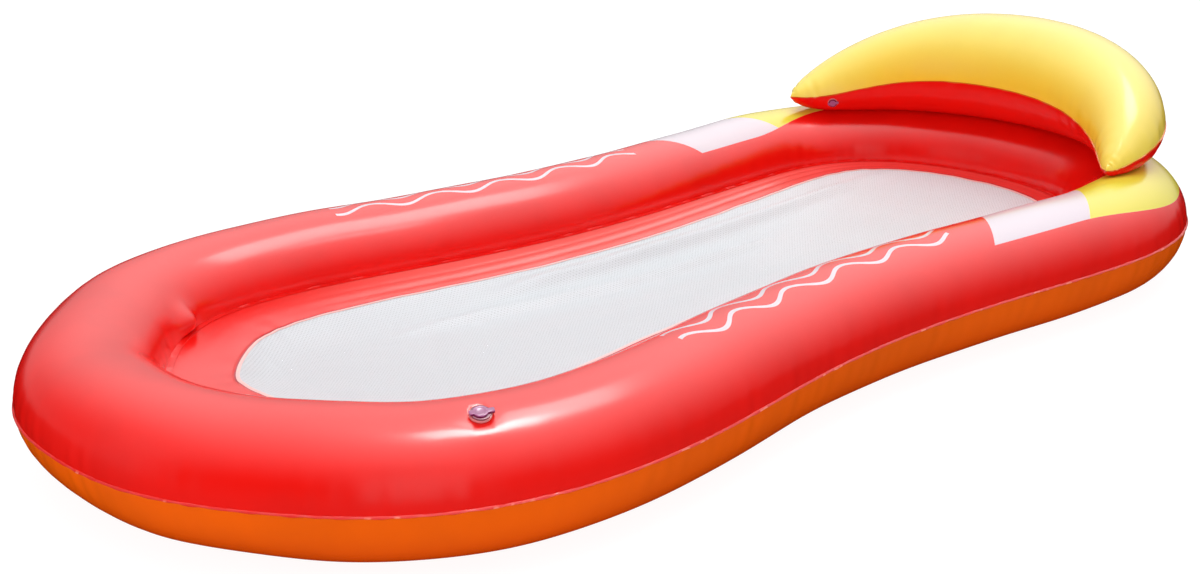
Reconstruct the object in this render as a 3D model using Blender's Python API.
"""Inflatable water hammock: a pear-shaped air ring round a sagging mesh, with a crescent pillow.

Metres, +Z up. +Y runs to the head end, where the pillow is, and +X to the side with the ring's
valve. The origin is on the floor, under the middle of the ring.

The ring and the pillow are each two films welded along an outer and an inner edge. A skirt of
two strips is welded into the ring's inner edge and holds the mesh. Each air chamber has a
push-in valve: a base welded under the film, a stem that slides in it, a check flap on the
stem's inner end, and a plug that swings on a short strap.
"""
import math

import bmesh
import bpy
import numpy as np
from mathutils import Matrix, Vector

# Ring
RING_LENGTH = 1.588
RING_WIDTH = 0.836
TUBE_DIAMETER = 0.148
FILM = 0.0004
OUTER_WELD_WIDTH = 0.006
INNER_WELD_WIDTH = 0.008
GAP = 0.0003

# Outline of the ring's outer weld, foot to head on one side:
# half widths and half lengths as shares of the largest
OUTLINE_SHARES = (
    (0.00, -1.000),
    (0.30, -0.980),
    (0.58, -0.905),
    (0.84, -0.780),
    (0.968, -0.640),
    (1.00, -0.490),
    (0.966, -0.320),
    (0.903, -0.150),
    (0.862, 0.060),
    (0.874, 0.260),
    (0.910, 0.480),
    (0.905, 0.650),
    (0.815, 0.790),
    (0.58, 0.920),
    (0.30, 0.982),
    (0.00, 1.000),
)

# Skirt, mesh and hem
SKIRT_FOOT_WIDTH = 0.089
SKIRT_WAIST_WIDTH = 0.075
SKIRT_HEAD_WIDTH = 0.026
SKIRT_DROP = 0.005
SKIRT_TUCK = 0.004
MESH_THICKNESS = 0.0006
MESH_HOLD = 0.012
MESH_SAG = 0.020
MESH_FOLD = 0.004
MESH_SPINE_SHARE = 0.62
HEM_WIDTH = 0.004
HEM_THICKNESS = 0.0006

# Pillow
PILLOW_LENGTH = 0.755
PILLOW_DIAMETER = 0.160
PILLOW_TIP_DIAMETER = 0.012
PILLOW_INSET = 0.006
PILLOW_TIP_INSET = 0.020
PILLOW_TIP_BLUNTNESS_SHARE = 0.62
PILLOW_FULLNESS_SHARE = 2.2
PILLOW_CROWN_SHARE = 1.13
PILLOW_SEAT_SHARE = 0.74
PILLOW_TIP_SEAT_SHARE = 0.13
PILLOW_BELLY_SHARE = 0.82
PILLOW_SEAT = 0.0019
PILLOW_WELD_WIDTH = 0.006
TAB_LENGTH = 0.30
HINGE_SETBACK = 0.022

# Valves
RING_VALVE_DIAMETER = 0.022
RING_VALVE_PLACE_SHARE = -0.655
PILLOW_VALVE_DIAMETER = 0.015
PILLOW_VALVE_PLACE_SHARE = 0.87

# Shares of a valve's diameter
FLANGE_SHARE = 0.575
FLANGE_THICKNESS_SHARE = 0.05
COLLAR_HEIGHT_SHARE = 0.09
COLLAR_BORE_SHARE = 0.375
STEM_BORE_SHARE = 0.215
STEM_DEPTH_SHARE = 0.65
RIM_SHARE = 0.45
RIM_THICKNESS_SHARE = 0.05
CAP_SHARE = 0.33
CAP_THICKNESS_SHARE = 0.07
CAP_DOME_SHARE = 0.25
SHANK_DEPTH_SHARE = 0.20
SHANK_TAPER_SHARE = 0.85
STRAP_REACH_SHARE = 0.60
STRAP_HALF_WIDTH_SHARE = 0.125
PULL_TAB_REACH_SHARE = 0.50
FLAP_SHARE = 0.2375
FLAP_THICKNESS_SHARE = 0.03
FLAP_HINGE_SHARE = 0.255

# Counts
RING_STATIONS = 72
TUBE_FACETS = 9
FOLDS_ACROSS = 3
PILLOW_STATIONS = 24
CROWN_ANGLES = (0, 22, 45, 67, 90)
BELLY_ANGLES = (0, 34, 56, 72, 90)
VALVE_FACETS = 20
SAMPLES_PER_SPAN = 40
SHARP_EDGE_DEGREES = 35
MERGE_SHARE = 0.1

TUBE_RADIUS = TUBE_DIAMETER / 2
FACET_ANGLE = math.pi / TUBE_FACETS
MID_HEIGHT = TUBE_RADIUS * math.cos(FACET_ANGLE / 2)
SKIRT_LEVEL = MESH_THICKNESS / 2 + GAP + FILM
INNER_WELD_LEVEL = SKIRT_LEVEL + GAP + FILM
OUTER_WELD_LEVEL = GAP / 2 + FILM

RED = (0.80, 0.030, 0.022)
ORANGE = (0.74, 0.125, 0.006)
WHITE = (0.80, 0.80, 0.82)
PINK = (0.90, 0.62, 0.60)
YELLOW = (0.88, 0.62, 0.030)
CLEAR_PINK = (0.78, 0.42, 0.55)
CLEAR_MAUVE = (0.62, 0.30, 0.46)


def clear_scene():
    for thing in list(bpy.data.objects):
        bpy.data.objects.remove(thing, do_unlink=True)


def material(name, colour, roughness, metallic=0.0):
    made = bpy.data.materials.new(name)
    made.use_nodes = True
    shader = made.node_tree.nodes["Principled BSDF"]
    shader.inputs["Base Color"].default_value = (*colour, 1)
    shader.inputs["Roughness"].default_value = roughness
    shader.inputs["Metallic"].default_value = metallic
    made.diffuse_color = (*colour, 1)
    return made


def add_object(name, mesh, finish, parent=None):
    thing = bpy.data.objects.new(name, mesh)
    mesh.materials.append(finish)
    mesh.shade_smooth()
    mesh.set_sharp_from_angle(angle=math.radians(SHARP_EDGE_DEGREES))
    bpy.context.scene.collection.objects.link(thing)
    thing.parent = parent
    return thing


def add_empty(name, matrix, parent=None):
    empty = bpy.data.objects.new(name, None)
    bpy.context.scene.collection.objects.link(empty)
    empty.parent = parent
    empty.matrix_local = matrix
    return empty


def hang(thing, hinge):
    """Makes a piece that is already in place turn with a hinge."""
    thing.parent = hinge
    thing.matrix_parent_inverse = Matrix.Translation(-hinge.location)


def thicken(thing, thickness, offset=-1):
    """Gives a surface its film thickness, on the side away from its normals."""
    skin = thing.modifiers.new("film", "SOLIDIFY")
    skin.thickness = thickness
    skin.offset = offset
    skin.use_even_offset = True


def smooth_loop(points, samples):
    """Closely spaced points on the closed cubic curve that passes through the given points."""
    count = len(points)
    spans = np.linalg.norm(np.roll(points, -1, axis=0) - points, axis=1)
    before = np.roll(spans, 1)
    system = np.zeros((count, count))
    for i in range(count):
        system[i, i] = 2 * (before[i] + spans[i])
        system[i, i - 1] += before[i]
        system[i, (i + 1) % count] += spans[i]
    slope = (np.roll(points, -1, axis=0) - points) / spans[:, None]
    bend = np.linalg.solve(system, 6 * (slope - np.roll(slope, 1, axis=0)))
    curve = []
    for i in range(count):
        j = (i + 1) % count
        for step in np.arange(samples) / samples:
            a, b = 1 - step, step
            cubic = (a**3 - a) * bend[i] + (b**3 - b) * bend[j]
            curve.append(a * points[i] + b * points[j] + cubic * spans[i] ** 2 / 6)
    return np.array(curve)


def outline():
    """The ring's outer weld line as a dense closed loop, from the foot past +X to the head."""
    half = np.array(OUTLINE_SHARES) * (RING_WIDTH / 2, RING_LENGTH / 2)
    other = half[-2:0:-1] * (-1, 1)
    return smooth_loop(np.vstack([half, other]), SAMPLES_PER_SPAN)


def lengths_along(loop):
    steps = np.linalg.norm(np.roll(loop, -1, axis=0) - loop, axis=1)
    return np.concatenate([[0], np.cumsum(steps)])


def points_at(loop, distances):
    """Points on a closed loop at these distances along it."""
    lengths = lengths_along(loop)
    closed = np.vstack([loop, loop[:1]])
    wrapped = np.mod(distances, lengths[-1])
    return np.stack([np.interp(wrapped, lengths, closed[:, k]) for k in (0, 1)], axis=1)


def outward(loop):
    """Unit normals of a loop that runs anticlockwise, pointing out of it."""
    along = np.roll(loop, -1, axis=0) - np.roll(loop, 1, axis=0)
    along /= np.linalg.norm(along, axis=1)[:, None]
    return np.stack([along[:, 1], -along[:, 0]], axis=1)


OUTLINE = outline()
STATIONS = points_at(OUTLINE, np.arange(RING_STATIONS) / RING_STATIONS * lengths_along(OUTLINE)[-1])
NORMALS = outward(STATIONS)
TRACK = OUTLINE - TUBE_RADIUS * outward(OUTLINE)


def skirt_widths():
    """The skirt's width at each station, from three widths along the ring."""
    along = STATIONS[:, 1] / (RING_LENGTH / 2)
    slope = (SKIRT_HEAD_WIDTH - SKIRT_FOOT_WIDTH) / 2
    curve = (SKIRT_HEAD_WIDTH + SKIRT_FOOT_WIDTH) / 2 - SKIRT_WAIST_WIDTH
    return SKIRT_WAIST_WIDTH + slope * along + curve * along**2


SKIRT_WIDTHS = skirt_widths()
SKIRT_EDGE = TUBE_DIAMETER + SKIRT_WIDTHS


def offset_loop(inwards):
    """The stations moved in from the outer weld by a distance, or by one distance each."""
    return STATIONS - NORMALS * np.reshape(inwards, (-1, 1))


def split_quad(a, b, c, d):
    """Two triangles along the diagonal that is shorter in plan, so that two layers match."""
    if (a.co - c.co).xy.length <= (b.co - d.co).xy.length:
        return (a, b, c), (a, c, d)
    return (b, c, d), (b, d, a)


def surface(name, rings, finish, side=1, closed=True):
    """A mesh between rings of equally many points, each further in, facing up or down."""
    mesh = bpy.data.meshes.new(name)
    work = bmesh.new()
    rows = [[work.verts.new(point) for point in ring] for ring in rings]
    count = len(rows[0])
    for outer, inner in zip(rows, rows[1:]):
        for i in range(count if closed else count - 1):
            j = (i + 1) % count
            for corners in split_quad(outer[i], outer[j], inner[j], inner[i]):
                work.faces.new(corners[::side])
    bmesh.ops.remove_doubles(work, verts=work.verts, dist=GAP * MERGE_SHARE)
    work.to_mesh(mesh)
    work.free()
    return add_object(name, mesh, finish)


def at_height(loop, heights):
    return np.column_stack([loop, np.broadcast_to(heights, len(loop))])


def tube_rings(side):
    """Half of the tube's section at every station: weld, arc and inner weld."""
    outer = MID_HEIGHT + side * OUTER_WELD_LEVEL
    inner = MID_HEIGHT + side * INNER_WELD_LEVEL
    rings = [at_height(offset_loop(-OUTER_WELD_WIDTH), outer), at_height(offset_loop(0), outer)]
    for k in range(1, TUBE_FACETS):
        angle = k * FACET_ANGLE
        inwards = TUBE_RADIUS * (1 - math.cos(angle))
        rings.append(at_height(offset_loop(inwards), MID_HEIGHT + side * TUBE_RADIUS * math.sin(angle)))
    rings.append(at_height(offset_loop(TUBE_DIAMETER), inner))
    rings.append(at_height(offset_loop(TUBE_DIAMETER + INNER_WELD_WIDTH), inner))
    return rings


def ring_film(name, side, finish):
    film = surface(name, tube_rings(side), finish, side)
    thicken(film, FILM)
    return film


def skirt_strip(name, side, finish):
    """One layer of the skirt: level under the film's weld, then sloping down to the mesh."""
    level = MID_HEIGHT + side * SKIRT_LEVEL
    rings = [
        at_height(offset_loop(TUBE_DIAMETER - SKIRT_TUCK), level),
        at_height(offset_loop(TUBE_DIAMETER + INNER_WELD_WIDTH), level),
        at_height(offset_loop(SKIRT_EDGE), level - SKIRT_DROP),
    ]
    strip = surface(name, rings, finish, side)
    thicken(strip, FILM)
    return strip


def skirt_drop(inwards):
    """How far the skirt has come down at this distance from the outer weld."""
    start = TUBE_DIAMETER + INNER_WELD_WIDTH
    return SKIRT_DROP * np.clip((inwards - start) / (SKIRT_EDGE - start), 0, 1)


def mesh_panel(finish):
    """The mesh: held in the skirt, sagging inside it with soft lengthwise folds."""
    edge_height = MID_HEIGHT - SKIRT_DROP
    held = SKIRT_EDGE - MESH_HOLD
    flat = SKIRT_EDGE + GAP + HEM_WIDTH + GAP
    rings = [at_height(offset_loop(held), MID_HEIGHT - skirt_drop(held))]
    rings.append(at_height(offset_loop(SKIRT_EDGE), edge_height))
    start = offset_loop(flat)
    reach = MESH_SPINE_SHARE * RING_LENGTH / 2
    spine = np.column_stack([np.zeros(RING_STATIONS), np.clip(start[:, 1], -reach, reach)])
    for share in np.linspace(0, 1, 2 * FOLDS_ACROSS + 1):
        loop = start + (spine - start) * share
        sag = MESH_SAG * share * (2 - share)
        fold = MESH_FOLD * share * math.cos(FOLDS_ACROSS * math.pi * (1 - share))
        along = 1 - (loop[:, 1] / (RING_LENGTH / 2)) ** 4
        rings.append(at_height(loop, edge_height + (fold - sag) * along))
    panel = surface("mesh_panel", rings, finish)
    thicken(panel, MESH_THICKNESS, offset=0)


def mesh_hem(finish):
    """A narrow tape on the mesh along the skirt's edge."""
    height = MID_HEIGHT - SKIRT_DROP + MESH_THICKNESS / 2 + GAP + HEM_THICKNESS
    rings = [at_height(offset_loop(SKIRT_EDGE + GAP), height)]
    rings.append(at_height(offset_loop(SKIRT_EDGE + GAP + HEM_WIDTH), height))
    thicken(surface("mesh_hem", rings, finish), HEM_THICKNESS)


def tube_top(points):
    """The height of the tube's round top at these places, and zero beside the tube."""
    away = np.linalg.norm(points[:, None] - TRACK[None], axis=2).min(axis=1)
    rise = np.sqrt(np.clip(TUBE_RADIUS**2 - away**2, 0, None))
    return np.where(away < TUBE_RADIUS, MID_HEIGHT + rise, 0)


def across(path):
    """Unit normals of an open path, on its right-hand side."""
    along = np.gradient(path, axis=0)
    along /= np.linalg.norm(along, axis=1)[:, None]
    return np.stack([along[:, 1], -along[:, 0]], axis=1)


class Pillow:
    """The crescent: its spine follows the tube's middle round the head end."""

    def __init__(self):
        self.shares = np.linspace(-1, 1, PILLOW_STATIONS + 1)
        head = lengths_along(TRACK)[len(TRACK) // 2]
        crest = points_at(TRACK, head + self.shares * PILLOW_LENGTH / 2)
        inset = PILLOW_INSET + (PILLOW_TIP_INSET - PILLOW_INSET) * self.shares**2
        self.spine = crest - across(crest) * inset[:, None]
        self.out = across(self.spine)
        self.along = np.stack([-self.out[:, 1], self.out[:, 0]], axis=1)
        fullness = 1 - np.abs(self.shares) ** PILLOW_FULLNESS_SHARE
        swell = (PILLOW_DIAMETER - PILLOW_TIP_DIAMETER) / 2
        self.radius = PILLOW_TIP_DIAMETER / 2 + swell * fullness**PILLOW_TIP_BLUNTNESS_SHARE
        tip, middle = self.spine[0, 1], self.spine[PILLOW_STATIONS // 2, 1]
        rise = np.clip((self.spine[:, 1] - tip) / (middle - tip), 0, 1)
        share = PILLOW_TIP_SEAT_SHARE + (PILLOW_SEAT_SHARE - PILLOW_TIP_SEAT_SHARE) * rise
        self.weld_height = MID_HEIGHT + TUBE_RADIUS + PILLOW_SEAT + share * PILLOW_DIAMETER / 2

    def around(self, values):
        """Values along the spine, out along the outer edge and back along the inner one."""
        return np.concatenate([values, values[-2:0:-1]])

    def loop(self, share, beyond=0.0):
        """A closed loop at this share of the radius, moved out by a further distance."""
        reach = (self.radius * share + beyond)[:, None]
        outer = self.spine + self.out * reach
        inner = self.spine - self.out * reach
        outer[0] = self.spine[0] - self.along[0] * reach[0]
        outer[-1] = self.spine[-1] + self.along[-1] * reach[-1]
        return np.concatenate([outer, inner[-2:0:-1]])

    def face(self, side, angles, swell, inset):
        """Rings of one face of a film, from the weld's edge to the spine."""
        weld = self.around(self.weld_height) + side * (OUTER_WELD_LEVEL - inset)
        radius = self.around(self.radius)
        rings = [at_height(self.loop(1, PILLOW_WELD_WIDTH), weld)]
        for angle in np.radians(angles):
            loop = self.loop(math.cos(angle), -inset * math.cos(angle))
            heights = weld + side * swell * radius * math.sin(angle)
            if side < 0:
                heights = np.maximum(heights, tube_top(loop) + PILLOW_SEAT + inset)
            rings.append(at_height(loop, heights))
        return rings

    def film(self, name, side, angles, swell, finish):
        """A closed film: its hidden face, from the spine out, and then its outer face."""
        outer = self.face(side, angles, swell, 0)
        hidden = self.face(side, angles, swell, FILM)
        return surface(name, hidden[::-1] + outer, finish, side)


def pillow_tab(finish):
    """The strip welded on the tube's top that carries the pillow's back edge."""
    spacing = lengths_along(OUTLINE)[-1] / RING_STATIONS
    reach = max(1, round(TAB_LENGTH / 2 / spacing))
    chosen = np.arange(RING_STATIONS // 2 - reach, RING_STATIONS // 2 + reach + 1)
    rings = []
    for k in range(TUBE_FACETS // 2 - 1, TUBE_FACETS // 2 + 2):
        angle = k * FACET_ANGLE
        lifted = TUBE_RADIUS + (GAP + FILM) / math.cos(FACET_ANGLE / 2)
        loop = offset_loop(TUBE_RADIUS - lifted * math.cos(angle))
        rings.append(at_height(loop, MID_HEIGHT + lifted * math.sin(angle))[chosen])
    thicken(surface("pillow_tab", rings, finish, closed=False), FILM)


def facet_seat(rings, row, station, side):
    """A frame on the facet between two rings: +Z out of the film, +X along the tube."""
    corners = [rings[k][(station + step) % len(rings[0])] for k in (row, row + 1) for step in (0, 1)]
    along = Vector(corners[1] + corners[3] - corners[0] - corners[2]).normalized()
    inwards = Vector(corners[2] + corners[3] - corners[0] - corners[1])
    out = side * along.cross(inwards).normalized()
    turned = Matrix((along, out.cross(along), out)).transposed().to_4x4()
    turned.translation = Vector(np.mean(corners, axis=0))
    return turned


def turned_solid(name, profile, finish, parent):
    """A ring-shaped solid: a closed outline of (radius, height) turned round +Z."""
    mesh = bpy.data.meshes.new(name)
    work = bmesh.new()
    rows = []
    for k in range(VALVE_FACETS):
        turn = 2 * math.pi * k / VALVE_FACETS
        rows.append([work.verts.new((r * math.cos(turn), r * math.sin(turn), z)) for r, z in profile])
    for k in range(VALVE_FACETS):
        here, there = rows[k], rows[(k + 1) % VALVE_FACETS]
        for i in range(len(profile)):
            j = (i + 1) % len(profile)
            work.faces.new((here[i], there[i], there[j], here[j]))
    bmesh.ops.recalc_face_normals(work, faces=work.faces)
    work.to_mesh(mesh)
    work.free()
    return add_object(name, mesh, finish, parent)


def tabbed_radius(turn, radius, reach, half_width):
    """The outline of a disc with a straight tab along +X, as a radius at each angle."""
    along, across = math.cos(turn), abs(math.sin(turn))
    if along <= 0:
        return radius
    tab = min(reach / along, half_width / across if across else reach)
    return max(radius, tab)


def disc_angles(*corners):
    """Even angles, with the angles of the tabs' corners put in."""
    even = {round(2 * math.pi * k / VALVE_FACETS, 6) for k in range(VALVE_FACETS)}
    return sorted(even | {round(corner % (2 * math.pi), 6) for corner in corners})


def stacked_solid(name, levels, finish, parent):
    """A solid of stacked outlines, each a list of (x, y, z), closed at both ends."""
    mesh = bpy.data.meshes.new(name)
    work = bmesh.new()
    rows = [[work.verts.new(point) for point in level] for level in levels]
    for lower, upper in zip(rows, rows[1:]):
        for i in range(len(lower)):
            j = (i + 1) % len(lower)
            work.faces.new((lower[i], lower[j], upper[j], upper[i]))
    work.faces.new(rows[0][::-1])
    work.faces.new(rows[-1])
    bmesh.ops.recalc_face_normals(work, faces=work.faces)
    work.to_mesh(mesh)
    work.free()
    return add_object(name, mesh, finish, parent)


class Valve:
    """One push-in valve, built on a facet of a film. Its own +Z points out of the film."""

    def __init__(self, prefix, diameter, seat, finishes):
        self.prefix = prefix
        self.size = diameter
        self.seat = add_empty(prefix + "_seat", seat)
        self.clear, self.mauve = finishes
        self.rim_low = diameter * COLLAR_HEIGHT_SHARE + GAP
        self.rim_top = self.rim_low + diameter * RIM_THICKNESS_SHARE
        self.stem_foot = -diameter * STEM_DEPTH_SHARE
        self.reach = diameter * STRAP_REACH_SHARE
        self.half_width = diameter * STRAP_HALF_WIDTH_SHARE

    def build(self):
        self.base()
        self.stem()
        self.strap()
        self.plug()
        self.flap()

    def base(self):
        """The welded base: a flange under the film and a collar up through it."""
        top = -(FILM + GAP)
        low = top - self.size * FLANGE_THICKNESS_SHARE
        collar, bore = self.size / 2, self.size * COLLAR_BORE_SHARE
        high = self.size * COLLAR_HEIGHT_SHARE
        profile = ((bore, low), (self.size * FLANGE_SHARE, low), (self.size * FLANGE_SHARE, top),
                   (collar, top), (collar, high), (bore, high))
        turned_solid(self.prefix + "_base", profile, self.mauve, self.seat)

    def stem(self):
        """The stem: a tube that slides in the collar, with a rim at its outer end."""
        wall, bore = self.size * COLLAR_BORE_SHARE - GAP, self.size * STEM_BORE_SHARE
        rim = self.size * RIM_SHARE
        profile = ((bore, self.stem_foot), (wall, self.stem_foot), (wall, self.rim_low),
                   (rim, self.rim_low), (rim, self.rim_top), (bore, self.rim_top))
        turned_solid(self.prefix + "_stem", profile, self.clear, self.seat)

    def strap(self):
        """The short strap that joins the plug to the stem's rim."""
        start = self.size * RIM_SHARE + GAP
        end, wide = self.reach - GAP, self.half_width
        outline_points = ((start, -wide), (end, -wide), (end, wide), (start, wide))
        levels = [[(x, y, z) for x, y in outline_points] for z in (self.rim_low, self.rim_top)]
        stacked_solid(self.prefix + "_strap", levels, self.mauve, self.seat)

    def plug(self):
        """Cap, shank and two tabs in one piece, with its origin on the strap's bend."""
        cap, shank = self.size * CAP_SHARE, self.size * STEM_BORE_SHARE - GAP
        pull = self.size * PULL_TAB_REACH_SHARE
        bend_height = self.rim_top + GAP / 2
        hinge = add_empty(self.prefix + "_plug_hinge",
                          Matrix.Translation((self.reach, 0, bend_height)), self.seat)
        corner, pull_corner = math.atan2(self.half_width, self.reach), math.atan2(self.half_width, pull)
        side = math.asin(self.half_width / cap)
        turns = disc_angles(corner, -corner, side, -side, math.pi - pull_corner,
                            math.pi + pull_corner, math.pi - side, math.pi + side)
        low = GAP / 2
        top = low + self.size * CAP_THICKNESS_SHARE

        def level(radius, height, tabs):
            points = []
            for turn in turns:
                reach = radius
                if tabs:
                    reach = tabbed_radius(turn, radius, self.reach, self.half_width)
                    reach = max(reach, tabbed_radius(math.pi - turn, radius, pull, self.half_width))
                points.append((reach * math.cos(turn) - self.reach, reach * math.sin(turn), height))
            return points

        depth = self.size * SHANK_DEPTH_SHARE
        dome = top + self.size * CAP_THICKNESS_SHARE * CAP_DOME_SHARE
        levels = [level(shank * SHANK_TAPER_SHARE, low - depth, False), level(shank, low, False),
                  level(cap, low, True), level(cap, top, True),
                  level(cap * SHANK_TAPER_SHARE, top, False), level(shank, dome, False)]
        stacked_solid(self.prefix + "_plug", levels, self.clear, hinge)

    def flap(self):
        """The check flap under the stem's inner end, with its origin on its hinge edge."""
        radius, arm = self.size * FLAP_SHARE, self.size * FLAP_HINGE_SHARE
        hinge = add_empty(self.prefix + "_flap_hinge",
                          Matrix.Translation((arm, 0, self.stem_foot - GAP / 2)), self.seat)
        corner = math.atan2(self.half_width, arm)
        turns = disc_angles(corner, -corner)
        top = -GAP / 2
        levels = []
        for height in (top - self.size * FLAP_THICKNESS_SHARE, top):
            level = []
            for turn in turns:
                reach = tabbed_radius(turn, radius, arm, self.half_width)
                level.append((reach * math.cos(turn) - arm, reach * math.sin(turn), height))
            levels.append(level)
        stacked_solid(self.prefix + "_flap", levels, self.mauve, hinge)

    def cut_film(self, film):
        """Cuts the hole that the collar passes through."""
        reach = self.size * COLLAR_HEIGHT_SHARE
        radius = self.size / 2 + GAP
        level = [(radius * math.cos(turn), radius * math.sin(turn)) for turn in disc_angles()]
        levels = [[(x, y, z) for x, y in level] for z in (-reach, reach)]
        cutter = stacked_solid(self.prefix + "_cutter", levels, self.clear, self.seat)
        cutter.hide_render = True
        cutter.display_type = "WIRE"
        hole = film.modifiers.new("hole", "BOOLEAN")
        hole.operation = "DIFFERENCE"
        hole.solver = "EXACT"
        hole.object = cutter


def ring_valve_seat(rings):
    """The facet next to the tube's crest, on the outer side, where the ring's valve sits."""
    right = range(RING_STATIONS // 2)
    place = RING_VALVE_PLACE_SHARE * RING_LENGTH / 2
    station = min(right, key=lambda i: abs((STATIONS[i, 1] + STATIONS[i + 1, 1]) / 2 - place))
    return facet_seat(rings, TUBE_FACETS // 2, station, 1)


def pillow_valve_seat(pillow):
    """The belly film's facet next to the weld, on the inner edge near the far tip."""
    middles = (pillow.shares[1:] + pillow.shares[:-1]) / 2
    step = int(np.argmin(np.abs(middles - PILLOW_VALVE_PLACE_SHARE)))
    rings = pillow.face(-1, BELLY_ANGLES, PILLOW_BELLY_SHARE, 0)
    return facet_seat(rings, 1, 2 * PILLOW_STATIONS - step - 1, -1)


def main():
    clear_scene()
    red = material("red_film", RED, 0.30)
    orange = material("orange_film", ORANGE, 0.32)
    white = material("white_mesh", WHITE, 0.75)
    pink = material("hem_tape", PINK, 0.45)
    yellow = material("yellow_film", YELLOW, 0.30)
    clear = material("valve_clear", CLEAR_PINK, 0.15)
    mauve = material("valve_mauve", CLEAR_MAUVE, 0.20)
    upper = ring_film("ring_upper_film", 1, red)
    ring_film("ring_lower_film", -1, orange)
    skirt_strip("skirt_upper", 1, red)
    skirt_strip("skirt_lower", -1, orange)
    mesh_panel(white)
    mesh_hem(pink)
    pillow = Pillow()
    crown = pillow.film("pillow_upper_film", 1, CROWN_ANGLES, PILLOW_CROWN_SHARE, yellow)
    belly = pillow.film("pillow_lower_film", -1, BELLY_ANGLES, PILLOW_BELLY_SHARE, red)
    pillow_tab(red)
    ring_valve = Valve("ring_valve", RING_VALVE_DIAMETER, ring_valve_seat(tube_rings(1)), (clear, mauve))
    ring_valve.build()
    ring_valve.cut_film(upper)
    pillow_valve = Valve(
        "pillow_valve", PILLOW_VALVE_DIAMETER, pillow_valve_seat(pillow), (clear, mauve))
    pillow_valve.build()
    pillow_valve.cut_film(belly)
    head = TRACK[len(TRACK) // 2]
    rise = math.sqrt(TUBE_RADIUS**2 - HINGE_SETBACK**2)
    place = (0, head[1] + HINGE_SETBACK, MID_HEIGHT + rise)
    hinge = add_empty("pillow_hinge", Matrix.Translation(place))
    for thing in (crown, belly, pillow_valve.seat):
        hang(thing, hinge)


main()
